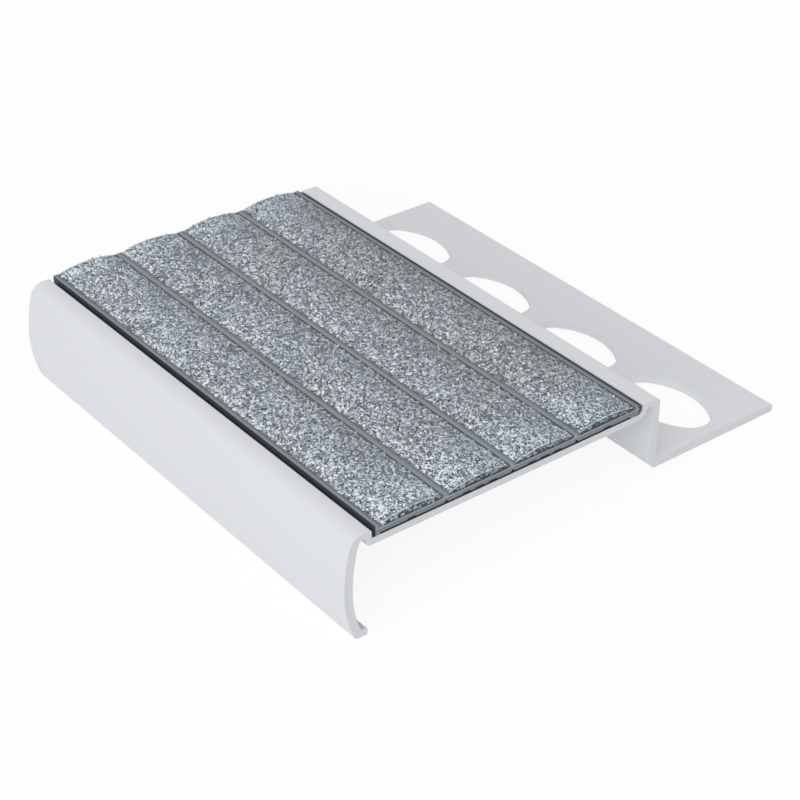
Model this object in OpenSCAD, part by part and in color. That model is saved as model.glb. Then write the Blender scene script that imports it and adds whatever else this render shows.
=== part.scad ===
// Stair nosing: an extruded edge profile with a bull nose, a recessed tread and a perforated
// bedding flange, carrying a ribbed tray filled with crowned abrasive strips.
// The section is drawn with depth running back from the front of the recess and height
// counted from the recess floor. The part lies along X, with its nose towards -Y. Its origin
// is on the bedding face under the flange, at mid-length on the line of the flange holes.

/* [Stock] */
// Length of the cut piece
stock_l = 100; // [50:25:300]

/* [Tread channel] */
// Clear width of the recess between its upstands
recess_w = 57.9; // [45:0.1:80]
// Height of both lips above the recess floor
lip_h = 1.6; // [1.4:0.1:2.4]
// Thickness of the floor plate and of the rear upstand
plate_t = 1.3; // [1:0.1:1.8]
// Thickness of the front upstand
upstand_t = 1.1; // [1:0.1:1.4]
// Radius under the front upstand
front_r = 0.9; // [0.5:0.1:0.9]
// Inside radius at the back of the recess
rear_r = 1; // [0.5:0.1:1.2]
// Radius on the upper edge of each lip
lip_r = 0.4; // [0.1:0.05:0.5]

/* [Bull nose] */
// Reach of the nose in front of the recess
nose_reach = 5.5; // [5:0.1:8]
// Height of the nose from its lower edge to the lips
nose_h = 20.4; // [19:0.1:24]
// Depth of the fullest point of the nose below the lips
belly_drop = 10.8; // [10:0.1:12]
// Outside radius above the fullest point
upper_r = 33.5; // [32:0.5:40]
// Outside radius below the fullest point
lower_r = 23.5; // [20:0.5:30]
// Wall thickness of the nose
nose_t = 1.65; // [1.4:0.05:2]
// Radius of the top front corner
crown_r = 3; // [2:0.1:3.5]
// Radius of the notch between the nose and the front upstand
notch_r = 0.73; // [0.6:0.01:0.8]
// Depth of the hooked lower edge, from the fullest point to its free end
hook_l = 4.5; // [4.2:0.1:5]
// Thickness of the hooked lower edge
hook_t = 1.4; // [1.2:0.1:1.6]
// Radius of the lower front corner
hook_r = 1.2; // [0.8:0.1:1.3]

/* [Rear wall and flange] */
// Depth of the strip behind the recess, back to the tile edge
strip_w = 4.2; // [3.5:0.1:6]
// Thickness of that strip over its hollow
strip_t = 1.1; // [0.9:0.1:1.3]
// Thickness of the rear wall
wall_t = 1.3; // [1:0.1:1.6]
// Depth of the tile seat below the lips
tile_h = 13; // [8:0.5:15]
// Width of the bedding flange behind the wall
flange_w = 29.2; // [26:0.2:40]
// Thickness of the bedding flange
flange_t = 1.5; // [1.2:0.1:2]

/* [Flange holes] */
// Length of each oval hole along the stock
hole_l = 19.8; // [18:0.2:22]
// Width of each oval hole across the flange
hole_w = 12.5; // [11:0.1:14]
// End radius of each oval hole
hole_end_r = 4.3; // [3.8:0.1:4.8]
// Spacing of the holes along the stock
hole_pitch = 25; // [25:1:40]
// Distance of the line of holes behind the wall
hole_line = 14.5; // [12:0.1:16]

/* [Insert tray] */
// Gap between the tray and each upstand
tray_gap = 0.75; // [0.3:0.05:0.9]
// Height of the tray's edges and ribs above the recess floor
tray_h = 1.95; // [1.8:0.05:2.4]
// Clearance under the tray floor
foot_h = 0.4; // [0.2:0.05:0.5]
// Thickness of the tray floor
floor_t = 1; // [0.8:0.05:1.1]
// Width of the tray's two edges
edge_t = 0.9; // [0.6:0.05:1]
// Width of the ribs between the troughs
rib_t = 1.2; // [0.8:0.05:1.4]
// Radius along the bottom of each trough
trough_r = 0.45; // [0.2:0.05:0.5]
// Width of the grooves under the tray floor
groove_w = 1.7; // [1:0.1:2]
// Depth of the grooves under the tray floor
groove_d = 0.2; // [0.1:0.05:0.4]
// Spacing of the grooves under each inner trough
groove_pitch = 2.75; // [2.4:0.05:3.5]
// Width of the notch under each rib
rib_notch = 0.9; // [0.6:0.1:1.2]

/* [Abrasive strips] */
// Height of the crown of each strip above the ribs
crown_h = 0.75; // [0.3:0.05:1.2]
// Depth of each strip's edges below the ribs
shoulder = 0.12; // [0.05:0.01:0.2]

/* [Hidden] */
$fn = 180;

// Overlap that keeps rounding shapes clear of shared edges
over = 0.2;
// Lap by which a round crosses the arc that it runs into
lap = 0.001;
// Small edge radii of the extrusion
edge_r = 0.4;
inside_r = 0.3;
wall_foot_r = 1.5;
strip_r = 0.9;
recess_r = 0.2;

// Main stations of the section
front_d = -nose_reach;
belly_z = lip_h - belly_drop;
hook_z = lip_h - nose_h;
hook_top = hook_z + hook_t;
hook_d = front_d + hook_l;
back_d = recess_w + strip_w;
wall_d = back_d - wall_t;
seat_z = lip_h - tile_h;
bed_z = seat_z - flange_t;
flange_d = back_d + flange_w;
hole_d = back_d + hole_line;

// Centres of the arcs of the nose, each round touching the arc that it runs into
upper_c = [front_d + upper_r, belly_z];
lower_c = [front_d + lower_r, belly_z];
crown_c = round_centre(upper_c, upper_r, crown_r, lip_h - crown_r);
heel_c = round_centre(lower_c, lower_r, hook_r, hook_z + hook_r);
crown_touch = touch_height(upper_c, upper_r, crown_c);
heel_touch = touch_height(lower_c, lower_r, heel_c);
inner_r = upper_r - nose_t;
notch_d = -upstand_t - notch_r;
notch_c = [notch_d, belly_z + sqrt(pow(inner_r - notch_r + lap, 2) - pow(upper_c.x - notch_d, 2))];
notch_touch = touch_height(upper_c, inner_r, notch_c);

// Tray stations
trough_n = 4;
tray_d = tray_gap;
tray_w = recess_w - 2 * tray_gap;
tray_end = tray_d + tray_w;
floor_z = foot_h + floor_t;
trough_w = (tray_w - 2 * edge_t - (trough_n - 1) * rib_t) / trough_n;

// Holes along the stock, as many as fit with a full web beyond the last one
hole_n = floor(stock_l / hole_pitch);

// Centre of a round of radius r, at height z, that touches the inside of an arc of radius big
function round_centre(c, big, r, z) = [c.x - sqrt(pow(big - r + lap, 2) - pow(z - c.y, 2)), z];

// Height at which a round centred at p touches the arc of radius big centred at c
function touch_height(c, big, p) = c.y + big * (p.y - c.y) / norm(p - c);

// Near edge of a trough, counted from the nose
function trough_d(i) = tray_d + edge_t + i * (trough_w + rib_t);

// Rectangle between two corners
module block(low, high) {
    translate(low) square(high - low);
}

// Sliver between a square corner and its round: it rounds an edge or fills an inside corner.
// The round's centre lies from the corner in the direction given by two signs.
module spandrel(corner, r, to) {
    translate(corner)
        difference() {
            translate([to.x < 0 ? -r : -over, to.y < 0 ? -r : -over])
                square(r + over);
            translate(to * r)
                circle(r);
        }
}

// Bull nose with its hooked lower edge and the lip that joins it to the channel
module nose_section() {
    difference() {
        union() {
            intersection() {
                translate(upper_c) circle(upper_r);
                block([front_d - over, belly_z], [-upstand_t, crown_touch]);
            }
            intersection() {
                translate(lower_c) circle(lower_r);
                block([front_d - over, heel_touch], [hook_d, belly_z + over]);
            }
            intersection() {
                translate(crown_c) circle(crown_r);
                block([front_d, crown_touch - over], [-upstand_t, lip_h]);
            }
            block([crown_c.x, crown_c.y], [-upstand_t / 2, lip_h]);
            intersection() {
                translate(heel_c) circle(hook_r);
                block([front_d, hook_z], [hook_d, heel_touch + over]);
            }
            block([heel_c.x, hook_z], [hook_d, hook_top]);
        }
        nose_hollow();
        spandrel([hook_d, hook_top], edge_r, [-1, -1]);
        spandrel([hook_d, hook_z], edge_r, [-1, 1]);
    }
}

// Space behind the wall of the nose, up to the notch in front of the channel
module nose_hollow() {
    intersection() {
        translate(upper_c) circle(inner_r);
        union() {
            block([front_d, belly_z], [over, notch_c.y]);
            block([front_d, belly_z], [notch_d, notch_touch]);
        }
    }
    intersection() {
        translate(lower_c) circle(lower_r - nose_t);
        block([front_d, hook_top], [over, belly_z + over]);
    }
    translate(notch_c) circle(notch_r);
}

// Floor plate and upstands of the tread channel
module channel_section() {
    difference() {
        block([-upstand_t, -plate_t], [recess_w + plate_t, lip_h]);
        block([0, 0], [recess_w, lip_h + over]);
        spandrel([-upstand_t, -plate_t], front_r, [1, 1]);
        spandrel([recess_w + plate_t, -plate_t], rear_r + plate_t, [-1, 1]);
        spandrel([0, lip_h], lip_r, [-1, -1]);
        spandrel([recess_w, lip_h], lip_r, [1, -1]);
    }
    spandrel([0, 0], recess_r, [1, 1]);
    spandrel([recess_w, 0], rear_r, [-1, 1]);
}

// Rear strip, wall and bedding flange
module rear_section() {
    difference() {
        union() {
            block([recess_w + lip_r, lip_h - strip_t], [back_d, lip_h]);
            block([wall_d, bed_z], [back_d, lip_h]);
            block([wall_d, bed_z], [flange_d, seat_z]);
        }
        spandrel([back_d, lip_h], strip_r, [-1, -1]);
        spandrel([wall_d, bed_z], wall_foot_r, [1, 1]);
        spandrel([flange_d, seat_z], edge_r, [-1, -1]);
        spandrel([flange_d, bed_z], edge_r, [-1, 1]);
    }
    spandrel([back_d, seat_z], inside_r, [1, 1]);
    spandrel([wall_d, lip_h - strip_t], inside_r, [-1, -1]);
}

// Oval of two end arcs and two side arcs that run into each other, long way along X
module oval() {
    end_d = hole_l / 2 - hole_end_r;
    rise = hole_w / 2 - hole_end_r;
    side_d = (pow(end_d, 2) - pow(rise, 2)) / (2 * rise);
    side_r = hole_w / 2 + side_d;
    touch_d = side_r * end_d / (side_r - hole_end_r);
    intersection() {
        translate([0, -side_d]) circle(side_r);
        translate([0, side_d]) circle(side_r);
        square([2 * touch_d, hole_w], center = true);
    }
    for (side = [-1, 1])
        translate([side * end_d, 0]) circle(hole_end_r);
}

// One trough of the tray, open at the top
module trough(i) {
    difference() {
        block([trough_d(i), floor_z], [trough_d(i) + trough_w, tray_h + over]);
        spandrel([trough_d(i), floor_z], trough_r, [1, 1]);
        spandrel([trough_d(i) + trough_w, floor_z], trough_r, [-1, 1]);
    }
}

// Grooves under one trough: one under each outer trough and three under each inner one
module grooves(i) {
    outer = i == 0 || i == trough_n - 1;
    middle = trough_d(i) + trough_w / 2;
    for (step = outer ? [0] : [-1, 0, 1])
        translate([middle + step * groove_pitch - groove_w / 2, foot_h - over])
            square([groove_w, groove_d + over]);
}

// Tray standing on its two edges, grooved below and notched under its ribs
module tray_section() {
    foot_end = tray_end - rear_r - edge_t;
    difference() {
        block([tray_d, 0], [tray_end, tray_h]);
        block([tray_d + edge_t, -over], [foot_end, foot_h]);
        spandrel([tray_end, 0], rear_r, [-1, 1]);
        for (i = [0 : trough_n - 1]) {
            trough(i);
            grooves(i);
        }
        for (i = [1 : trough_n - 1])
            translate([trough_d(i) - rib_t / 2, foot_h])
                rotate(45)
                    square(rib_notch * sqrt(0.5), center = true);
    }
}

// One abrasive strip: the fill of its trough under a crowned top
module strip_section(i) {
    edge_z = tray_h - shoulder;
    rise = crown_h + shoulder;
    arc_r = (pow(trough_w / 2, 2) + pow(rise, 2)) / (2 * rise);
    intersection() {
        trough(i);
        block([trough_d(i), floor_z], [trough_d(i) + trough_w, edge_z]);
    }
    intersection() {
        translate([trough_d(i) + trough_w / 2, edge_z + rise - arc_r]) circle(arc_r);
        block([trough_d(i), edge_z - over / 2], [trough_d(i) + trough_w, edge_z + rise]);
    }
}

// Section drawn in depth and height, run along the stock and set on the part's origin
module along_stock() {
    translate([0, -hole_d, -bed_z])
        rotate([90, 0, 90])
            linear_extrude(stock_l, center = true)
                children();
}

module nosing_profile() {
    color("gainsboro")
        difference() {
            along_stock() {
                nose_section();
                channel_section();
                rear_section();
            }
            for (i = [0 : hole_n - 1])
                translate([(i - (hole_n - 1) / 2) * hole_pitch, 0, -over])
                    linear_extrude(flange_t + 2 * over)
                        oval();
        }
}

module insert_tray() {
    color("dimgray")
        along_stock() tray_section();
}

module grit_strip(i) {
    color("slategray")
        along_stock() strip_section(i);
}

nosing_profile();
insert_tray();
for (i = [0 : trough_n - 1])
    grit_strip(i);
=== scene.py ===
"""Looks of a cut length of stair nosing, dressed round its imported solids.

The extruded profile, the insert tray and the beds of the four abrasive strips keep their
solids and get finishes. Each bed gets a cover of crushed grains, scattered over its crown
and over the upper part of its two cut ends.

Sizes are in metres, in the frame of the part: the stock runs along X, the nose points to -Y
and +Z is up. Colours are written as display values from 0 to 255.
"""

import logging
import math
from dataclasses import dataclass, field
from enum import Enum
from typing import Any, Sequence

import bmesh
import bpy
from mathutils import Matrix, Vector


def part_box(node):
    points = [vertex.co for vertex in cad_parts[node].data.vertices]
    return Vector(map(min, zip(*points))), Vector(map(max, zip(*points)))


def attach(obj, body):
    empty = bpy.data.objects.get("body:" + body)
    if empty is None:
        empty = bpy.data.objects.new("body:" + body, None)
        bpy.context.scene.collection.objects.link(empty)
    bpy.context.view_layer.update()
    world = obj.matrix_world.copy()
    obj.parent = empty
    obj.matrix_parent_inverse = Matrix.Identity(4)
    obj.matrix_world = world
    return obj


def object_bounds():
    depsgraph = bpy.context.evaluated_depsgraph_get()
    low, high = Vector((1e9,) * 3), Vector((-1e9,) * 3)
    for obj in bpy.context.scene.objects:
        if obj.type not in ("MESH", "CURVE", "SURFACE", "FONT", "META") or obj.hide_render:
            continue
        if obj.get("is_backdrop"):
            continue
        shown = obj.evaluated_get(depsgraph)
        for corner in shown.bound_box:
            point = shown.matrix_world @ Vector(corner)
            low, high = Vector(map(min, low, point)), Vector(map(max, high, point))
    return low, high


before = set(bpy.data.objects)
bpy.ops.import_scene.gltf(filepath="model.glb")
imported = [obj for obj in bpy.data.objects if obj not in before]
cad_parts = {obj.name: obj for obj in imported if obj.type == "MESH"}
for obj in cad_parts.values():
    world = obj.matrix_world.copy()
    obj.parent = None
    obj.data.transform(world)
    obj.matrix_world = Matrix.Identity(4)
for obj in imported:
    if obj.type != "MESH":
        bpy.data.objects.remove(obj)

Display = tuple[int, int, int]
Linear = tuple[float, float, float, float]
Stop = tuple[float, Display]

BODY = "root"
MM = 0.001
WHITE: Linear = (1.0, 1.0, 1.0, 1.0)
STRIP_COUNT = 4

# How near to a cut end a surface counts as lying on it.
CUT_SKIN = 0.02 * MM

# The attribute that carries a grain's own tone from the scatter to its finish.
GRAIN_TONE = "grain_tone"

# The curve of display colours: straight in its toe, a lifted power above it.
CURVE_TOE = 0.04045
CURVE_SLOPE = 12.92
CURVE_LIFT = 0.055
CURVE_POWER = 2.4

# Places of the Mix node's colour sockets among those for its other kinds of value.
MIX_FIRST = 6
MIX_SECOND = 7
MIX_RESULT = 2

log = logging.getLogger("stair_nosing")


class Ray(Enum):
    """Rays that see the white surroundings; all other rays see the soft light."""

    CAMERA = "Is Camera Ray"
    GLOSSY = "Is Glossy Ray"
    TRANSMISSION = "Is Transmission Ray"


class GrainTone(Enum):
    """Tones of crushed grain, each with the share of grains that are darker than it."""

    SLATE = (0.0, (78, 86, 94))
    STEEL = (0.3, (162, 170, 177))
    ASH = (0.7, (189, 196, 202))
    CHALK = (1.0, (224, 230, 235))


class Draw(Enum):
    """Kinds of random value, each with its type and the place of its first socket."""

    VECTOR = ("FLOAT_VECTOR", 0)
    NUMBER = ("FLOAT", 2)
    WHOLE = ("INT", 4)


def linear(display: Display) -> Linear:
    """Turns a display colour into the linear colour that a shader takes.

    Args:
        display: Red, green and blue from 0 to 255.

    Returns:
        The linear colour with full opacity.
    """
    parts = []
    for value in display:
        share = value / 255
        if share <= CURVE_TOE:
            parts.append(share / CURVE_SLOPE)
        else:
            parts.append(((share + CURVE_LIFT) / (1 + CURVE_LIFT)) ** CURVE_POWER)
    return (parts[0], parts[1], parts[2], 1.0)


@dataclass
class Wiring:
    """Adds nodes to one tree and joins their sockets."""

    tree: bpy.types.NodeTree

    def add(self, kind: str, feeds: dict[Any, Any] | None = None, **settings: Any) -> bpy.types.Node:
        """Adds a node.

        Args:
            kind: The node's type name.
            feeds: Input names or numbers, each with a value or with the socket that feeds it.
            settings: Properties of the node itself.

        Returns:
            The new node.
        """
        node = self.tree.nodes.new(kind)
        for name, value in settings.items():
            setattr(node, name, value)
        for key, value in (feeds or {}).items():
            self.feed(node.inputs[key], value)
        return node

    def feed(self, socket: bpy.types.NodeSocket, value: Any) -> None:
        """Links a socket to the one that feeds it, or sets its own value.

        Args:
            socket: The socket to fill.
            value: A value, or the socket that feeds it.
        """
        if isinstance(value, bpy.types.NodeSocket):
            self.tree.links.new(value, socket)
        else:
            socket.default_value = value

    def math(self, operation: str, *values: Any) -> bpy.types.NodeSocket:
        """Adds a sum, product or test of numbers.

        Args:
            operation: The operation of the Math node.
            values: Its operands, as numbers or sockets.

        Returns:
            The result's socket.
        """
        kind = "ShaderNodeMath"
        return self.add(kind, dict(enumerate(values)), operation=operation).outputs[0]

    def split(self, vector: bpy.types.NodeSocket) -> Sequence[bpy.types.NodeSocket]:
        """Gives the three parts of a vector."""
        return self.add("ShaderNodeSeparateXYZ", {"Vector": vector}).outputs

    def mix(self, share: Any, first: Any, second: Any) -> bpy.types.NodeSocket:
        """Mixes two colours.

        Args:
            share: Share of the second colour, from 0 to 1.
            first: A colour or a socket.
            second: A colour or a socket.

        Returns:
            The mixed colour's socket.
        """
        node = self.add("ShaderNodeMix", data_type="RGBA")
        self.feed(node.inputs["Factor"], share)
        self.feed(node.inputs[MIX_FIRST], first)
        self.feed(node.inputs[MIX_SECOND], second)
        return node.outputs[MIX_RESULT]

    def ramp(self, share: bpy.types.NodeSocket, stops: Sequence[Stop]) -> bpy.types.NodeSocket:
        """Spreads a number over a row of colours.

        Args:
            share: A number from 0 to 1.
            stops: Places along the ramp, each with its display colour.

        Returns:
            The colour's socket.
        """
        node = self.add("ShaderNodeValToRGB", {"Fac": share})
        elements = node.color_ramp.elements
        while len(elements) < len(stops):
            elements.new(1.0)
        for element, (place, display) in zip(elements, stops):
            element.position = place
            element.color = linear(display)
        return node.outputs[0]

    def spread(self, share: Any, low: float, high: float) -> bpy.types.NodeSocket:
        """Maps a number of 0 to 1 onto a range."""
        feeds = {"Value": share, "To Min": low, "To Max": high}
        return self.add("ShaderNodeMapRange", feeds).outputs[0]

    def scale(self, colour: bpy.types.NodeSocket, factor: Any) -> bpy.types.NodeSocket:
        """Makes a colour paler or darker by a factor."""
        return self.add("ShaderNodeVectorMath", {0: colour, 1: factor}, operation="MULTIPLY").outputs[0]

    def step(self, value: Any, none: float, full: float) -> bpy.types.NodeSocket:
        """Gives a share that grows from 0 to 1 between two values."""
        feeds = {"Value": value, "From Min": none, "From Max": full}
        return self.add("ShaderNodeMapRange", feeds).outputs[0]

    def all_of(self, *shares: Any) -> bpy.types.NodeSocket:
        """Multiplies shares, so that only what is in all of them is left.

        Args:
            shares: Two or more shares, as numbers or sockets.

        Returns:
            The product's socket.
        """
        result = shares[0]
        for share in shares[1:]:
            result = self.math("MULTIPLY", result, share)
        return result

    def noise(
        self,
        place: bpy.types.NodeSocket,
        per_metre: Sequence[float],
        detail: float = 2.0,
        turn: float = 0.0,
    ) -> bpy.types.NodeSocket:
        """Adds noise that can be drawn out along an axis.

        Args:
            place: The coordinates.
            per_metre: Waves for each metre along X, Y and Z.
            detail: Octaves of finer noise.
            turn: Turn of the pattern about X.

        Returns:
            The noise's socket, about 0 to 1.
        """
        feeds = {"Vector": place, "Rotation": (turn, 0.0, 0.0), "Scale": tuple(per_metre)}
        mapped = self.add("ShaderNodeMapping", feeds, vector_type="POINT").outputs[0]
        feeds = {"Vector": mapped, "Scale": 1.0, "Detail": detail}
        return self.add("ShaderNodeTexNoise", feeds).outputs[0]

    def bump(self, height: bpy.types.NodeSocket, depth: float, strength: float) -> bpy.types.NodeSocket:
        """Gives the normal of a surface with a pattern of heights."""
        feeds = {"Strength": strength, "Distance": depth, "Height": height}
        return self.add("ShaderNodeBump", feeds).outputs[0]


@dataclass(frozen=True)
class Finish:
    """What every finish shares: its name and the start of its material."""

    name: str

    def start(self) -> tuple[bpy.types.Material, Wiring, bpy.types.Node, bpy.types.NodeSocket]:
        """Opens a material with an empty surface.

        Returns:
            The material, its wiring, its surface shader and its object coordinates.
        """
        material = bpy.data.materials.new(self.name)
        material.use_nodes = True
        wiring = Wiring(material.node_tree)
        surface = material.node_tree.nodes["Principled BSDF"]
        place = wiring.add("ShaderNodeTexCoord").outputs["Object"]
        return material, wiring, surface, place


@dataclass(frozen=True)
class Recess:
    """Inside of the tread channel, with painted shade that stands in for the shadow in the gaps round the
    tray.
    """

    half_length: float
    front_y: float
    back_y: float
    floor_z: float
    rim_z: float
    gap: float
    rim_fade: float = 0.15 * MM
    end_fade: float = 1.2 * MM
    skin: float = 0.03 * MM
    # Tones of the painted shade in front of the tray, under it, behind it, and behind it near the cut
    # ends.
    front_tone: Display = (122, 126, 130)
    floor_tone: Display = (94, 97, 101)
    back_tone: Display = (66, 69, 73)
    back_end_tone: Display = (150, 153, 158)

    def share(self, wiring: Wiring, place: bpy.types.NodeSocket) -> bpy.types.NodeSocket:
        """Tells where a surface lies inside the recess.

        Args:
            wiring: The tree to add the test to.
            place: The object coordinates.

        Returns:
            The socket of a share that is 1 inside and fades out up the rims.
        """
        _, y, z = wiring.split(place)
        behind = wiring.math("GREATER_THAN", y, self.front_y - self.skin)
        before = wiring.math("LESS_THAN", y, self.back_y + self.skin)
        above = wiring.math("GREATER_THAN", z, self.floor_z - self.skin)
        below = wiring.step(z, self.rim_z, self.rim_z - self.rim_fade)
        return wiring.all_of(behind, before, above, below)

    def painted_shade(self, wiring: Wiring, place: bpy.types.NodeSocket) -> bpy.types.NodeSocket:
        """Gives the colour of the painted shade, which is pale in front of the tray, darkest behind it and
        paler near the cut ends behind it.

        Args:
            wiring: The tree to add it to.
            place: The object coordinates.

        Returns:
            The colour's socket.
        """
        x, y, _ = wiring.split(place)
        under = wiring.step(y, self.front_y + self.gap / 2, self.front_y + self.gap)
        behind = wiring.step(y, self.back_y - 2 * self.gap, self.back_y - self.gap)
        tone = wiring.mix(under, linear(self.front_tone), linear(self.floor_tone))
        along = wiring.math("ABSOLUTE", x)
        end = wiring.step(along, self.half_length - self.end_fade, self.half_length)
        back = wiring.mix(end, linear(self.back_tone), linear(self.back_end_tone))
        return wiring.mix(behind, tone, back)


@dataclass(frozen=True)
class SatinExtrusion(Finish):
    """Pale silver-grey anodised aluminium with faint draw lines and sawn ends, painted light on the walls
    of the flange holes and painted shade inside the recess.
    """

    half_length: float
    recess: Recess
    tone: Display = (220, 222, 225)
    drawn_tone: Display = (216, 218, 222)
    sawn_tone: Display = (209, 211, 214)
    scored_tone: Display = (203, 205, 209)
    # Painted light on the walls of the flange holes.
    hole_light_tone: Display = (226, 228, 231)
    flange: float = 1.5 * MM
    hole_reach: float = 7.0 * MM
    metallic: float = 0.4
    satin: tuple[float, float] = (0.6, 0.7)
    draw_waves: tuple[float, float, float] = (12.0, 2600.0, 2600.0)
    saw_waves: tuple[float, float, float] = (1.0, 5200.0, 90.0)
    saw_turn: float = 0.5
    detail: float = 3.0
    relief: float = 0.006 * MM
    relief_strength: float = 0.4

    def material(self) -> bpy.types.Material:
        """Makes the material.

        Returns:
            The material.
        """
        material, wiring, surface, place = self.start()
        lines = wiring.noise(place, self.draw_waves, self.detail)
        saw = wiring.noise(place, self.saw_waves, self.detail, self.saw_turn)
        along = wiring.math("ABSOLUTE", wiring.split(place)[0])
        sawn = wiring.math("GREATER_THAN", along, self.half_length - CUT_SKIN)
        drawn = wiring.mix(lines, linear(self.tone), linear(self.drawn_tone))
        # Painted light: the walls of the flange holes get a paler tone than the rest of the metal.
        drawn = wiring.mix(self.hole_walls(wiring, place), drawn, linear(self.hole_light_tone))
        cut = wiring.mix(saw, linear(self.sawn_tone), linear(self.scored_tone))
        bare = wiring.mix(sawn, drawn, cut)
        unsawn = wiring.math("SUBTRACT", 1.0, sawn)
        # Painted shade inside the recess, in place of the shadow of the gaps round the tray.
        recess_shade_share = wiring.all_of(self.recess.share(wiring, place), unsawn)
        tone = wiring.mix(recess_shade_share, bare, self.recess.painted_shade(wiring, place))
        wiring.feed(surface.inputs["Base Color"], tone)
        surface.inputs["Metallic"].default_value = self.metallic
        wiring.feed(surface.inputs["Roughness"], wiring.spread(lines, *self.satin))
        height = wiring.math("ADD", wiring.math("MULTIPLY", saw, sawn), lines)
        wiring.feed(surface.inputs["Normal"], wiring.bump(height, self.relief, self.relief_strength))
        return material

    def hole_walls(self, wiring: Wiring, place: bpy.types.NodeSocket) -> bpy.types.NodeSocket:
        """Tells where a surface is the wall of a flange hole.

        Args:
            wiring: The tree to add the test to.
            place: The object coordinates.

        Returns:
            The socket of a share that is 1 on the walls and 0 elsewhere.
        """
        _, y, z = wiring.split(place)
        beside = wiring.math("LESS_THAN", wiring.math("ABSOLUTE", y), self.hole_reach)
        above = wiring.math("GREATER_THAN", z, self.recess.skin)
        below = wiring.math("LESS_THAN", z, self.flange - self.recess.skin)
        return wiring.all_of(beside, above, below)


@dataclass(frozen=True)
class CarrierPlastic(Finish):
    """Mid-grey extruded carrier, with painted shade on its two outer sides and over its back edge, painted
    light and shade across its ribs and a painted highlight along the top of its cut ends.
    """

    half_length: float
    front_y: float
    back_y: float
    rib_y: float
    rib_pitch: float
    rib_width: float
    floor_z: float
    body_tone: Display = (113, 118, 125)
    # Painted light and shade across each rib: pale at its front, dark at its back.
    rib_light_and_shade_tones: tuple[Stop, ...] = (
        (0.0, (130, 137, 143)),
        (0.25, (138, 145, 150)),
        (0.6, (124, 131, 137)),
        (0.9, (94, 101, 107)),
    )
    # Painted shade on the tray's front and back sides.
    side_shade_tone: Display = (64, 68, 71)
    edge_highlight_tone: Display = (140, 146, 153)
    highlight_band: float = 0.25 * MM
    last_edge: float = 0.9 * MM
    last_shade: tuple[float, float] = (0.98, 0.48)
    skin: float = 0.03 * MM
    roughness: float = 0.55
    draw_waves: tuple[float, float, float] = (15.0, 3000.0, 3000.0)
    draw_shade: tuple[float, float] = (0.86, 1.1)
    detail: float = 3.0
    relief: float = 0.01 * MM
    relief_strength: float = 0.3

    def material(self) -> bpy.types.Material:
        """Makes the material.

        Returns:
            The material.
        """
        material, wiring, surface, place = self.start()
        x, y, z = wiring.split(place)
        lines = wiring.noise(place, self.draw_waves, self.detail)
        # Painted light and shade across each rib, pale at its front and dark at its back.
        beats = wiring.math("DIVIDE", wiring.math("SUBTRACT", y, self.rib_y), self.rib_pitch)
        beat = wiring.math("FRACT", beats)
        across = wiring.math("MULTIPLY", beat, self.rib_pitch / self.rib_width)
        rib = wiring.ramp(across, self.rib_light_and_shade_tones)
        low = wiring.math("LESS_THAN", z, self.floor_z + self.skin)
        tone = wiring.mix(low, rib, linear(self.body_tone))
        # Painted highlight along the top of the tray's floor on its cut ends.
        high = wiring.math("GREATER_THAN", z, self.floor_z - self.highlight_band)
        cut = wiring.math("GREATER_THAN", wiring.math("ABSOLUTE", x), self.half_length - self.skin)
        end = wiring.mix(high, linear(self.body_tone), linear(self.edge_highlight_tone))
        tone = wiring.mix(wiring.math("MULTIPLY", cut, low), tone, end)
        front = wiring.math("LESS_THAN", y, self.front_y + self.skin)
        back = wiring.math("GREATER_THAN", y, self.back_y - self.skin)
        # Painted shade: the tray's top darkens over its last edge towards its back side.
        last = wiring.spread(wiring.step(y, self.back_y - self.last_edge, self.back_y), *self.last_shade)
        tone = wiring.mix(low, wiring.scale(tone, last), tone)
        # Painted shade on the tray's front and back sides, which lie in the dark gaps of the recess.
        tone = wiring.mix(wiring.math("MAXIMUM", front, back), tone, linear(self.side_shade_tone))
        tone = wiring.scale(tone, wiring.spread(lines, *self.draw_shade))
        wiring.feed(surface.inputs["Base Color"], tone)
        surface.inputs["Roughness"].default_value = self.roughness
        wiring.feed(surface.inputs["Normal"], wiring.bump(lines, self.relief, self.relief_strength))
        return material


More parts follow.
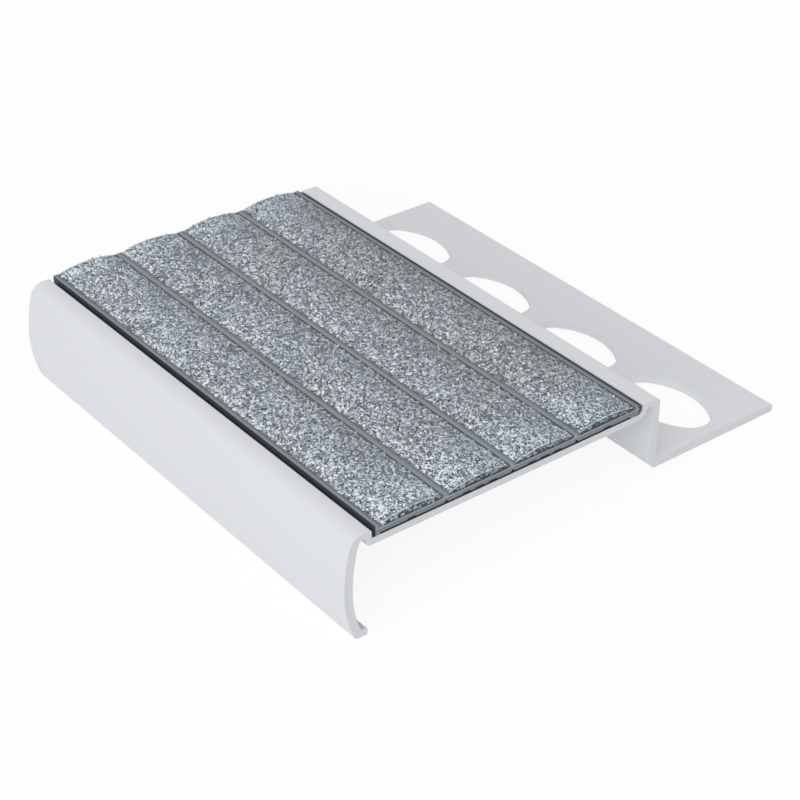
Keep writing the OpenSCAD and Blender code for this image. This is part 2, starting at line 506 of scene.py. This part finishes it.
@dataclass(frozen=True)
class StripRow:
    """Row of equal strips that lie side by side across the tread."""

    half_length: float
    front_y: float
    back_y: float
    pitch: float
    width: float
    far_reach: float = 7 * MM
    near_reach: float = 12 * MM

    def across(self, wiring: Wiring, place: bpy.types.NodeSocket) -> bpy.types.NodeSocket:
        """Gives the share of a strip's width, from 0 at its front to 1 at its back.

        Args:
            wiring: The tree to add it to.
            place: The object coordinates.

        Returns:
            The share's socket.
        """
        y = wiring.split(place)[1]
        strips = wiring.math("DIVIDE", wiring.math("SUBTRACT", y, self.front_y), self.pitch)
        return wiring.math("MULTIPLY", wiring.math("FRACT", strips), self.pitch / self.width)

    def ends(
        self, wiring: Wiring, place: bpy.types.NodeSocket, far: float, near: float
    ) -> bpy.types.NodeSocket:
        """Gives a share that grows towards the two cut ends.

        Args:
            wiring: The tree to add it to.
            place: The object coordinates.
            far: The share at the -X end.
            near: The share at the +X end.

        Returns:
            The share's socket.
        """
        x = wiring.split(place)[0]
        half = self.half_length
        to_far = wiring.math("MULTIPLY", wiring.step(x, self.far_reach - half, -half), far)
        to_near = wiring.math("MULTIPLY", wiring.step(x, half - self.near_reach, half), near)
        return wiring.math("ADD", to_far, to_near)

    def to_end(self, wiring: Wiring, place: bpy.types.NodeSocket) -> bpy.types.NodeSocket:
        """Gives the distance from the nearer cut end."""
        along = wiring.math("ABSOLUTE", wiring.split(place)[0])
        return wiring.math("SUBTRACT", self.half_length, along)

    def cut(self, wiring: Wiring, place: bpy.types.NodeSocket) -> bpy.types.NodeSocket:
        """Gives 1 on the cut ends and beyond them, and 0 elsewhere."""
        along = wiring.math("ABSOLUTE", wiring.split(place)[0])
        return wiring.math("GREATER_THAN", along, self.half_length - CUT_SKIN)


@dataclass(frozen=True)
class ResinBed(Finish):
    """Grey resin full of buried grains, with a painted highlight along the rims of the cut ends.

    It is dark on the cut ends themselves, and painted shade darkens the crevice behind a strip.
    """

    row: StripRow
    tone: Display = (26, 31, 38)
    grain_tone: Display = (150, 158, 165)
    end_tone: Display = (58, 70, 83)
    crevice_shade_tone: Display = (80, 85, 90)
    crevice: tuple[float, float] = (0.95, 0.975)
    rim_highlight_tones: tuple[Display, Display] = ((112, 122, 131), (226, 237, 245))
    rim: tuple[float, float] = (0.5 * MM, 0.15 * MM)
    grain_size: float = 0.3 * MM
    roughness: float = 0.6
    relief: float = 0.1 * MM
    relief_strength: float = 0.6

    def material(self) -> bpy.types.Material:
        """Makes the material.

        Returns:
            The material.
        """
        material, wiring, surface, place = self.start()
        cells = wiring.add("ShaderNodeTexVoronoi", {"Vector": place, "Scale": 1 / self.grain_size})
        shown = wiring.split(cells.outputs["Color"])[0]
        deep = wiring.step(self.row.across(wiring, place), *self.crevice)
        tone = wiring.mix(shown, linear(self.tone), linear(self.grain_tone))
        # Painted highlight, pale and blue, along the rims of the cut ends.
        dark, pale = self.rim_highlight_tones
        rim = wiring.step(self.row.to_end(wiring, place), *self.rim)
        tone = wiring.mix(rim, tone, wiring.mix(shown, linear(dark), linear(pale)))
        cut_tone = wiring.mix(shown, linear(self.end_tone), linear(self.tone))
        tone = wiring.mix(self.row.cut(wiring, place), tone, cut_tone)
        # Painted shade in the crevice between the back of a strip and the next rib.
        tone = wiring.mix(deep, tone, linear(self.crevice_shade_tone))
        wiring.feed(surface.inputs["Base Color"], tone)
        surface.inputs["Roughness"].default_value = self.roughness
        normal = wiring.bump(cells.outputs["Distance"], self.relief, self.relief_strength)
        wiring.feed(surface.inputs["Normal"], normal)
        return material


@dataclass(frozen=True)
class CrushedGrain(Finish):
    """Blue-grey crushed mineral grains, each of its own tone, with painted light and shade across each
    strip and painted light towards the cut ends.
    """

    row: StripRow
    # Painted light and shade across each strip, as factors at its front and at its back.
    painted_front_light: Linear = (1.26, 1.22, 1.2, 1.0)
    painted_back_shade: Linear = (0.8, 0.8, 0.8, 1.0)
    row_shade: tuple[float, float] = (1.17, 0.9)
    palest_tone: Display = (226, 231, 235)
    end_tone: Display = (208, 226, 238)
    end_light_shares: tuple[float, float] = (0.44, 0.6)
    cut_tone: Display = (100, 113, 126)
    cut_share: float = 0.75
    cool_tone: Display = (150, 172, 180)
    cool_share: float = 0.25
    cloud_waves: float = 110.0
    cloud_range: tuple[float, float] = (-0.6, 1.4)
    roughness: float = 0.45

    def material(self) -> bpy.types.Material:
        """Makes the material.

        Returns:
            The material.
        """
        material, wiring, surface, place = self.start()
        grain = wiring.add("ShaderNodeAttribute", attribute_name=GRAIN_TONE).outputs["Fac"]
        tone = wiring.ramp(grain, [stop.value for stop in GrainTone])
        cloud = wiring.noise(place, (self.cloud_waves,) * 3)
        cooled = wiring.math("MULTIPLY", wiring.spread(cloud, *self.cloud_range), self.cool_share)
        tone = wiring.mix(cooled, tone, linear(self.cool_tone))
        # Painted light: the grains grow paler and bluer towards the cut ends.
        tone = wiring.mix(self.row.ends(wiring, place, *self.end_light_shares), tone, linear(self.end_tone))
        cut = wiring.math("MULTIPLY", self.row.cut(wiring, place), self.cut_share)
        tone = wiring.mix(cut, tone, linear(self.cut_tone))
        # Painted light and shade across the strips, and darker towards the back strip.
        shaded = wiring.scale(tone, self.shade(wiring, place))
        feeds = {0: shaded, 1: linear(self.palest_tone)[:3]}
        pale = wiring.add("ShaderNodeVectorMath", feeds, operation="MINIMUM").outputs[0]
        wiring.feed(surface.inputs["Base Color"], pale)
        surface.inputs["Roughness"].default_value = self.roughness
        return material

    def shade(self, wiring: Wiring, place: bpy.types.NodeSocket) -> bpy.types.NodeSocket:
        """Gives the painted light and shade on the grains, pale and warm along the strips' fronts; the
        grains are also palest on the first strip.

        Args:
            wiring: The tree to add it to.
            place: The object coordinates.

        Returns:
            The socket of the factor on the grains' tone.
        """
        y = wiring.split(place)[1]
        # Painted light and shade: pale and warm at a strip's front, darker at its back.
        across = wiring.mix(self.row.across(wiring, place), self.painted_front_light, self.painted_back_shade)
        back = wiring.spread(wiring.step(y, self.row.front_y, self.row.back_y), *self.row_shade)
        return wiring.scale(across, back)


@dataclass(frozen=True)
class StudioWhite(Finish):
    """Pale floor that shows white, keeps the part's soft shadow and is open when seen from below."""

    tone: Display = (250, 250, 250)
    shadow_share: float = 0.12
    shadow_reach: tuple[float, float] = (150 * MM, 700 * MM)

    def material(self) -> bpy.types.Material:
        """Makes the material.

        Returns:
            The material.
        """
        material, wiring, surface, place = self.start()
        surface.inputs["Base Color"].default_value = linear(self.tone)
        surface.inputs["Roughness"].default_value = 1.0
        surface.inputs["Specular IOR Level"].default_value = 0.0
        white = wiring.add("ShaderNodeEmission", {"Color": WHITE, "Strength": 1.0})
        seen = seen_directly(wiring)
        away = wiring.add("ShaderNodeVectorMath", {0: place}, operation="LENGTH").outputs["Value"]
        shade = wiring.spread(wiring.step(away, *self.shadow_reach), self.shadow_share, 0.0)
        share = wiring.math("MULTIPLY", seen, wiring.math("SUBTRACT", 1.0, shade))
        shown = wiring.add("ShaderNodeMixShader", {0: share, 1: surface.outputs[0], 2: white.outputs[0]})
        under = wiring.add("ShaderNodeNewGeometry").outputs["Backfacing"]
        clear = wiring.add("ShaderNodeBsdfTransparent")
        hidden = wiring.math("MULTIPLY", under, seen)
        both = wiring.add("ShaderNodeMixShader", {0: hidden, 1: shown.outputs[0], 2: clear.outputs[0]})
        output = material.node_tree.nodes["Material Output"]
        wiring.feed(output.inputs["Surface"], both.outputs[0])
        return material


def seen_directly(wiring: Wiring) -> bpy.types.NodeSocket:
    """Gives 1 for the rays that see the white surroundings and 0 for the rest.

    Args:
        wiring: The tree to add the test to.

    Returns:
        The test's socket.
    """
    path = wiring.add("ShaderNodeLightPath")
    seen = path.outputs[Ray.CAMERA.value]
    for ray in (Ray.GLOSSY, Ray.TRANSMISSION):
        seen = wiring.math("MAXIMUM", seen, path.outputs[ray.value])
    return seen


def dress(node: str, material: bpy.types.Material) -> bpy.types.Object:
    """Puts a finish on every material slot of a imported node.

    Args:
        node: The node's name.
        material: Its finish.

    Returns:
        The node's object.
    """
    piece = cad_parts[node]
    if not piece.material_slots:
        piece.data.materials.append(material)
    for slot in piece.material_slots:
        slot.material = material
    return piece


@dataclass
class Profile:
    """The extruded aluminium profile."""

    tray: str
    node: str = "nosing_profile"
    tray_gap: float = 0.75 * MM
    tray_rise: float = 0.35 * MM

    def dress(self) -> bpy.types.Object:
        """Gives the profile its satin finish, with painted shade inside the recess.

        Returns:
            The profile's object.
        """
        low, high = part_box(self.tray)
        half_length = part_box(self.node)[1].x
        recess = Recess(
            half_length=half_length,
            front_y=low.y - self.tray_gap,
            back_y=high.y + self.tray_gap + self.tray_rise,
            floor_z=low.z,
            rim_z=high.z - self.tray_rise,
            gap=self.tray_gap,
        )
        return dress(self.node, SatinExtrusion("satin_aluminium", half_length, recess).material())


@dataclass
class InsertTray:
    """The ribbed carrier that the abrasive strips lie in."""

    strips: Sequence[str]
    node: str = "insert_tray"

    def dress(self) -> bpy.types.Object:
        """Gives the tray its finish, with the ribs where the strips leave them.

        Returns:
            The tray's object.
        """
        low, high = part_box(self.node)
        first_low, first_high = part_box(self.strips[0])
        second_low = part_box(self.strips[1])[0]
        finish = CarrierPlastic(
            "grey_carrier",
            half_length=high.x,
            front_y=low.y,
            back_y=high.y,
            rib_y=first_high.y,
            rib_pitch=second_low.y - first_low.y,
            rib_width=second_low.y - first_high.y,
            floor_z=first_low.z,
        )
        return dress(self.node, finish.material())


@dataclass
class GrainScatter:
    """Node tree that covers a bed with crushed grains of several shapes."""

    spacing: float = 0.35 * MM
    grain: float = 0.58 * MM
    smallest: float = 0.7
    largest: float = 1.3
    sink: float = 0.1 * MM
    front_margin: float = 0.22 * MM
    back_margin: float = 0.38 * MM
    end_depth: float = 0.85 * MM
    end_margin: float = 0.14 * MM
    end_sink: float = 0.14 * MM
    end_reach: float = 1.2 * MM
    shapes: int = 6
    roughness: float = 0.35
    flatness: float = 0.8
    lean: float = 0.7
    densest: float = 4.0e7
    facing_limit: float = 0.5
    end_skin: float = 0.01 * MM
    draws_per_seed: float = 100.0
    inputs: dict[str, str] = field(default_factory=dict)

    def build(self, finish: bpy.types.Material) -> bpy.types.NodeTree:
        """Builds the tree.

        Args:
            finish: The grains' finish.

        Returns:
            The tree, with its sizes and its seed as named inputs.
        """
        tree = bpy.data.node_groups.new("grain_scatter", "GeometryNodeTree")
        wiring = Wiring(tree)
        self.declare(tree)
        group = wiring.add("NodeGroupInput").outputs
        points, facing = self.scatter(wiring, group)
        grains = self.set_grains(wiring, group, points, facing)
        real = wiring.add("GeometryNodeRealizeInstances", {"Geometry": grains}).outputs[0]
        finished = wiring.add("GeometryNodeSetMaterial", {"Geometry": real, "Material": finish})
        wiring.add("NodeGroupOutput", {"Grains": finished.outputs[0]})
        return tree

    def declare(self, tree: bpy.types.NodeTree) -> None:
        """Args:
            tree: The tree.
        """
        kinds = {
            "Bed": "NodeSocketGeometry",
            "Spacing": "NodeSocketFloat",
            "Grain": "NodeSocketFloat",
            "Sink": "NodeSocketFloat",
            "Front Margin": "NodeSocketFloat",
            "Back Margin": "NodeSocketFloat",
            "End Depth": "NodeSocketFloat",
            "End Margin": "NodeSocketFloat",
            "End Sink": "NodeSocketFloat",
            "End Reach": "NodeSocketFloat",
            "Seed": "NodeSocketInt",
        }
        for name, kind in kinds.items():
            socket = tree.interface.new_socket(name, in_out="INPUT", socket_type=kind)
            self.inputs[name] = socket.identifier
        tree.interface.new_socket("Grains", in_out="OUTPUT", socket_type="NodeSocketGeometry")

    def values(self, seed: int) -> dict[str, float]:
        """Gives the values of the tree's inputs for one bed.

        Args:
            seed: The bed's own seed.

        Returns:
            The inputs' names, each with its value.
        """
        return {
            "Spacing": self.spacing,
            "Grain": self.grain,
            "Sink": self.sink,
            "Front Margin": self.front_margin,
            "Back Margin": self.back_margin,
            "End Depth": self.end_depth,
            "End Margin": self.end_margin,
            "End Sink": self.end_sink,
            "End Reach": self.end_reach,
            "Seed": seed,
        }

    def scatter(self, wiring: Wiring, group: Any) -> tuple[bpy.types.NodeSocket, bpy.types.NodeSocket]:
        """Scatters points over the crown and over the upper part of the ends.

        Args:
            wiring: The tree's wiring.
            group: The tree's inputs.

        Returns:
            The points' socket, and the socket of the turn that lays a grain flat on its face.
        """
        x, _, z = wiring.split(wiring.add("GeometryNodeInputNormal").outputs[0])
        up = wiring.math("GREATER_THAN", z, self.facing_limit)
        end = wiring.math("GREATER_THAN", wiring.math("ABSOLUTE", x), self.facing_limit)
        spread = wiring.add(
            "GeometryNodeDistributePointsOnFaces",
            {
                "Mesh": group["Bed"],
                "Selection": wiring.math("MAXIMUM", up, end),
                "Distance Min": group["Spacing"],
                "Density Max": self.densest,
                "Seed": group["Seed"],
            },
            distribute_method="POISSON",
        ).outputs
        kept = self.clear_edges(wiring, group, spread["Points"])
        inward = wiring.add("ShaderNodeVectorMath", {0: spread["Normal"]}, operation="SCALE")
        depth = self.depth(wiring, group, spread["Normal"])
        wiring.feed(inward.inputs["Scale"], wiring.math("MULTIPLY", depth, -1.0))
        sunk = {"Geometry": kept, "Offset": inward.outputs[0]}
        return wiring.add("GeometryNodeSetPosition", sunk).outputs[0], spread["Rotation"]

    def depth(self, wiring: Wiring, group: Any, normal: bpy.types.NodeSocket) -> bpy.types.NodeSocket:
        """Gives how deep a grain sinks, which grows along the crown towards the cut ends.

        Args:
            wiring: The tree's wiring.
            group: The tree's inputs.
            normal: The direction that the bed faces at a point.

        Returns:
            The depth's socket.
        """
        crown = wiring.math("GREATER_THAN", wiring.split(normal)[2], self.facing_limit)
        end = wiring.step(self.to_end(wiring, group), group["End Reach"], 0.0)
        more = wiring.all_of(crown, end, group["End Sink"])
        return wiring.math("ADD", group["Sink"], more)

    def to_end(self, wiring: Wiring, group: Any) -> bpy.types.NodeSocket:
        """Gives the distance of a point from the nearer cut end.

        Args:
            wiring: The tree's wiring.
            group: The tree's inputs.

        Returns:
            The distance's socket.
        """
        box = wiring.add("GeometryNodeBoundBox", {"Geometry": group["Bed"]})
        half_length = wiring.split(box.outputs["Max"])[0]
        x = wiring.split(wiring.add("GeometryNodeInputPosition").outputs[0])[0]
        return wiring.math("SUBTRACT", half_length, wiring.math("ABSOLUTE", x))

    def clear_edges(
        self, wiring: Wiring, group: Any, points: bpy.types.NodeSocket
    ) -> bpy.types.NodeSocket:
        """Takes away the points along the ribs, round the cut edges and low on the ends.

        Args:
            wiring: The tree's wiring.
            group: The tree's inputs.
            points: The points on the bed.

        Returns:
            The socket of the points that stay.
        """
        box = wiring.add("GeometryNodeBoundBox", {"Geometry": group["Bed"]})
        low = wiring.split(box.outputs["Min"])
        high = wiring.split(box.outputs["Max"])
        _, y, z = wiring.split(wiring.add("GeometryNodeInputPosition").outputs[0])
        front = wiring.math("LESS_THAN", wiring.math("SUBTRACT", y, low[1]), group["Front Margin"])
        back = wiring.math("LESS_THAN", wiring.math("SUBTRACT", high[1], y), group["Back Margin"])
        to_end = self.to_end(wiring, group)
        on_end = wiring.math("LESS_THAN", to_end, self.end_skin)
        at_edge = wiring.math("LESS_THAN", to_end, group["End Margin"])
        over_edge = wiring.math("SUBTRACT", at_edge, on_end)
        deep = wiring.math("LESS_THAN", z, wiring.math("SUBTRACT", high[2], group["End Depth"]))
        away = over_edge
        for share in (front, back, wiring.math("MULTIPLY", deep, on_end)):
            away = wiring.math("MAXIMUM", away, share)
        feeds = {"Geometry": points, "Selection": away}
        return wiring.add("GeometryNodeDeleteGeometry", feeds, domain="POINT").outputs[0]

    def set_grains(
        self, wiring: Wiring, group: Any, points: bpy.types.NodeSocket, facing: bpy.types.NodeSocket
    ) -> bpy.types.NodeSocket:
        """Sets a turned grain of its own size and tone on every point.

        Args:
            wiring: The tree's wiring.
            group: The tree's inputs.
            points: The points.
            facing: The turn that lays a grain flat.

        Returns:
            The instances' socket.
        """
        shapes = wiring.add("GeometryNodeGeometryToInstance")
        for number in range(self.shapes):
            wiring.tree.links.new(self.shape(wiring, number), shapes.inputs[0])
        pick = self.random(wiring, Draw.WHOLE, 0, self.shapes - 1, group["Seed"])
        turned = (self.lean, self.lean, math.pi)
        back = tuple(-angle for angle in turned)
        lean = self.random(wiring, Draw.VECTOR, back, turned, group["Seed"])
        leaning = wiring.add("FunctionNodeEulerToRotation", {"Euler": lean}).outputs[0]
        feeds = {"Rotation": facing, "Rotate By": leaning}
        turn = wiring.add("FunctionNodeRotateRotation", feeds, rotation_space="LOCAL").outputs[0]
        size = self.random(wiring, Draw.NUMBER, self.smallest, self.largest, group["Seed"])
        length = wiring.math("MULTIPLY", size, group["Grain"])
        depth = wiring.math("MULTIPLY", length, self.flatness)
        extent = wiring.add("ShaderNodeCombineXYZ", {"X": length, "Y": length, "Z": depth}).outputs[0]
        placed = wiring.add(
            "GeometryNodeInstanceOnPoints",
            {
                "Points": points,
                "Instance": shapes.outputs[0],
                "Pick Instance": True,
                "Instance Index": pick,
                "Rotation": turn,
                "Scale": extent,
            },
        ).outputs[0]
        tone = self.random(wiring, Draw.NUMBER, 0.0, 1.0, group["Seed"])
        return wiring.add(
            "GeometryNodeStoreNamedAttribute",
            {"Geometry": placed, "Name": GRAIN_TONE, "Value": tone},
            data_type="FLOAT",
            domain="INSTANCE",
        ).outputs[0]

    def shape(self, wiring: Wiring, number: int) -> bpy.types.NodeSocket:
        """Makes one angular grain, about 1 across.

        Args:
            wiring: The tree's wiring.
            number: The shape's number, which is its seed.

        Returns:
            The grain's mesh socket.
        """
        ball = wiring.add("GeometryNodeMeshIcoSphere", {"Radius": 0.5, "Subdivisions": 1}).outputs[0]
        reach = (self.roughness,) * 3
        back = (-self.roughness,) * 3
        offset = self.random(wiring, Draw.VECTOR, back, reach, number)
        moved = wiring.add("GeometryNodeSetPosition", {"Geometry": ball, "Offset": offset}).outputs[0]
        feeds = {"Geometry": moved, "Shade Smooth": False}
        return wiring.add("GeometryNodeSetShadeSmooth", feeds).outputs[0]

    def random(self, wiring: Wiring, kind: Draw, low: Any, high: Any, seed: Any) -> bpy.types.NodeSocket:
        """Draws a random value for each element, apart from every other draw.

        Args:
            wiring: The tree's wiring.
            kind: The kind of value.
            low: The lowest value.
            high: The highest value.
            seed: The seed, as a number or a socket.

        Returns:
            The value's socket.
        """
        data_type, first = kind.value
        drawn = sum(1 for node in wiring.tree.nodes if node.bl_idname == "FunctionNodeRandomValue")
        own_seed = wiring.math("ADD", wiring.math("MULTIPLY", seed, self.draws_per_seed), float(drawn))
        node = wiring.add("FunctionNodeRandomValue", data_type=data_type)
        wiring.feed(node.inputs[first], low)
        wiring.feed(node.inputs[first + 1], high)
        wiring.feed(node.inputs["Seed"], own_seed)
        return node.outputs[first // 2]


@dataclass
class GritStrip:
    """One crowned abrasive strip: its resin bed and its cover of grains."""

    number: int
    scatter: GrainScatter
    slot: str = "grit"
    merge_distance: float = 0.001 * MM

    @property
    def node(self) -> str:
        """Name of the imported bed."""
        return f"grit_strip_{self.number}"

    def dress(self, finish: bpy.types.Material) -> bpy.types.Object:
        """Gives the bed its finish."""
        return dress(self.node, finish)

    def build(self, tree: bpy.types.NodeTree) -> bpy.types.Object:
        """Covers the bed with grains.

        Args:
            tree: The scatter's node tree.

        Returns:
            The piece that holds the grains.
        """
        piece = bpy.data.objects.new(f"grains_{self.number}", self.merged_bed())
        bpy.context.scene.collection.objects.link(piece)
        modifier = piece.modifiers.new("grains", "NODES")
        modifier.node_group = tree
        for name, value in self.scatter.values(seed=self.number).items():
            modifier[self.scatter.inputs[name]] = value
        graph = bpy.context.evaluated_depsgraph_get()
        grains = bpy.data.meshes.new_from_object(piece.evaluated_get(graph))
        piece.modifiers.remove(modifier)
        piece.data = grains
        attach(piece, BODY)
        return piece

    def merged_bed(self) -> bpy.types.Mesh:
        """Copies the bed's mesh with its doubled corners merged.

        Returns:
            The copy.
        """
        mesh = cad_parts[self.node].data.copy()
        work = bmesh.new()
        work.from_mesh(mesh)
        bmesh.ops.remove_doubles(work, verts=work.verts, dist=self.merge_distance)
        work.to_mesh(mesh)
        work.free()
        return mesh


@dataclass
class Lamp:
    """One soft lamp that faces the middle of the part and shows no image of itself in the metal."""

    name: str
    place: tuple[float, float, float]
    width: float
    height: float
    watts: float

    def build(self, target: Vector) -> bpy.types.Object:
        """Hangs the lamp.

        Args:
            target: The point that it faces.

        Returns:
            The lamp.
        """
        data = bpy.data.lights.new(self.name, "AREA")
        data.shape = "RECTANGLE"
        data.size = self.width
        data.size_y = self.height
        data.energy = self.watts
        lamp = bpy.data.objects.new(self.name, data)
        lamp.visible_glossy = False
        lamp.location = Vector(self.place)
        lamp.rotation_mode = "QUATERNION"
        lamp.rotation_quaternion = (target - lamp.location).to_track_quat("-Z", "Y")
        bpy.context.scene.collection.objects.link(lamp)
        return lamp


@dataclass
class Studio:
    """Pale floor, white surroundings and soft lamps."""

    profile: str
    soft_light: float = 0.6
    floor_half: float = 2.0
    clearance: float = 0.02 * MM
    level: float = 0.001 * MM
    hook_reach: float = 10 * MM
    lamps: tuple[Lamp, ...] = (
        Lamp("key_lamp", place=(0.63, -0.94, 0.86), width=1.2, height=1.2, watts=11.5),
        Lamp("low_lamp", place=(0.84, -1.08, 0.28), width=1.0, height=0.5, watts=2.0),
    )

    def build(self) -> list[bpy.types.Object]:
        """Builds the studio.

        Returns:
            The floor and the lamps.
        """
        scene = bpy.context.scene
        scene.view_settings.view_transform = "Standard"
        scene.world = self.surroundings()
        low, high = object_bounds()
        target = (low + high) / 2
        return [self.floor()] + [lamp.build(target) for lamp in self.lamps]

    def surroundings(self) -> bpy.types.World:
        """Makes a world that looks white and lights the part softly.

        Returns:
            The world.
        """
        world = bpy.data.worlds.new("surroundings")
        world.use_nodes = True
        wiring = Wiring(world.node_tree)
        strength = wiring.spread(seen_directly(wiring), self.soft_light, 1.0)
        background = world.node_tree.nodes["Background"]
        background.inputs["Color"].default_value = WHITE
        wiring.feed(background.inputs["Strength"], strength)
        return world

    def floor(self) -> bpy.types.Object:
        """Lays the floor under the part as it rests, on its hook and its flange.

        Returns:
            The floor.
        """
        hook, flange = self.rest_points()
        slope = (flange.z - hook.z) / (flange.y - hook.y)
        corners = []
        for side, depth in ((-1, -1), (1, -1), (1, 1), (-1, 1)):
            y = depth * self.floor_half
            z = hook.z + slope * (y - hook.y) - self.clearance
            corners.append((side * self.floor_half, y, z))
        mesh = bpy.data.meshes.new("floor")
        mesh.from_pydata(corners, [], [(0, 1, 2, 3)])
        mesh.materials.append(StudioWhite("studio_white").material())
        floor = bpy.data.objects.new("floor", mesh)
        bpy.context.scene.collection.objects.link(floor)
        floor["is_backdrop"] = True
        return floor

    def rest_points(self) -> tuple[Vector, Vector]:
        """Finds the two points of the profile's section that it rests on unheld.

        Returns:
            The lowest point of the hook, and the point of the flange that meets the floor.
        """
        places = [vertex.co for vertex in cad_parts[self.profile].data.vertices]
        lowest = min(place.z for place in places)
        bottom = [place for place in places if place.z < lowest + self.level]
        hook = max(bottom, key=lambda place: place.y)
        behind = [place for place in places if place.y > hook.y + self.hook_reach]
        flange = min(behind, key=lambda place: (place.z - hook.z) / (place.y - hook.y))
        return hook.copy(), flange.copy()


@dataclass
class PhotoCamera:
    """Camera that stands where the photograph was taken."""

    place: tuple[float, float, float] = (0.26219, -0.23544, 0.21109)
    azimuth: float = math.radians(52.207)
    elevation: float = math.radians(33.052)
    lens: float = 94.877
    sensor: float = 36.0
    picture_width: int = 800
    nearest: float = 10 * MM

    def build(self) -> bpy.types.Object:
        """Sets up the camera.

        Returns:
            The camera.
        """
        data = bpy.data.cameras.new("photo_camera")
        data.lens = self.lens
        data.sensor_width = self.sensor
        half_pixel = 0.5 / self.picture_width
        data.shift_x = -half_pixel
        data.shift_y = half_pixel
        data.clip_start = self.nearest
        camera = bpy.data.objects.new("photo_camera", data)
        level = math.cos(self.elevation)
        aside = math.sin(self.azimuth) * level
        ahead = math.cos(self.azimuth) * level
        back = Vector((aside, -ahead, math.sin(self.elevation)))
        camera.location = Vector(self.place)
        camera.rotation_mode = "QUATERNION"
        camera.rotation_quaternion = (-back).to_track_quat("-Z", "Y")
        bpy.context.scene.collection.objects.link(camera)
        bpy.context.scene.camera = camera
        return camera


def strip_row(strips: Sequence[GritStrip]) -> StripRow:
    """Measures the row of strips.

    Args:
        strips: The strips, from the front one to the back one.

    Returns:
        The row.
    """
    first_low, first_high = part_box(strips[0].node)
    second_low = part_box(strips[1].node)[0]
    last_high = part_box(strips[-1].node)[1]
    return StripRow(
        half_length=first_high.x,
        front_y=first_low.y,
        back_y=last_high.y,
        pitch=second_low.y - first_low.y,
        width=first_high.y - first_low.y,
    )


def main() -> None:
    """Builds the part's looks in order."""
    logging.basicConfig(level=logging.INFO, format="%(message)s")
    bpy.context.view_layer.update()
    camera = PhotoCamera().build()
    log.info("camera %s", camera.name)
    scatter = GrainScatter()
    strips = [GritStrip(number, scatter) for number in range(1, STRIP_COUNT + 1)]
    tray = InsertTray([strip.node for strip in strips])
    profile = Profile(tray.node)
    log.info("dressed %s", profile.dress().name)
    log.info("dressed %s", tray.dress().name)
    row = strip_row(strips)
    bed = ResinBed("grey_resin", row).material()
    tree = scatter.build(CrushedGrain("crushed_grain", row).material())
    for strip in strips:
        log.info("dressed %s", strip.dress(bed).name)
        piece = strip.build(tree)
        log.info("built %s with %d faces", piece.name, len(piece.data.polygons))
    for thing in Studio(profile.node).build():
        log.info("studio %s", thing.name)


if __name__ == "__main__":
    main()
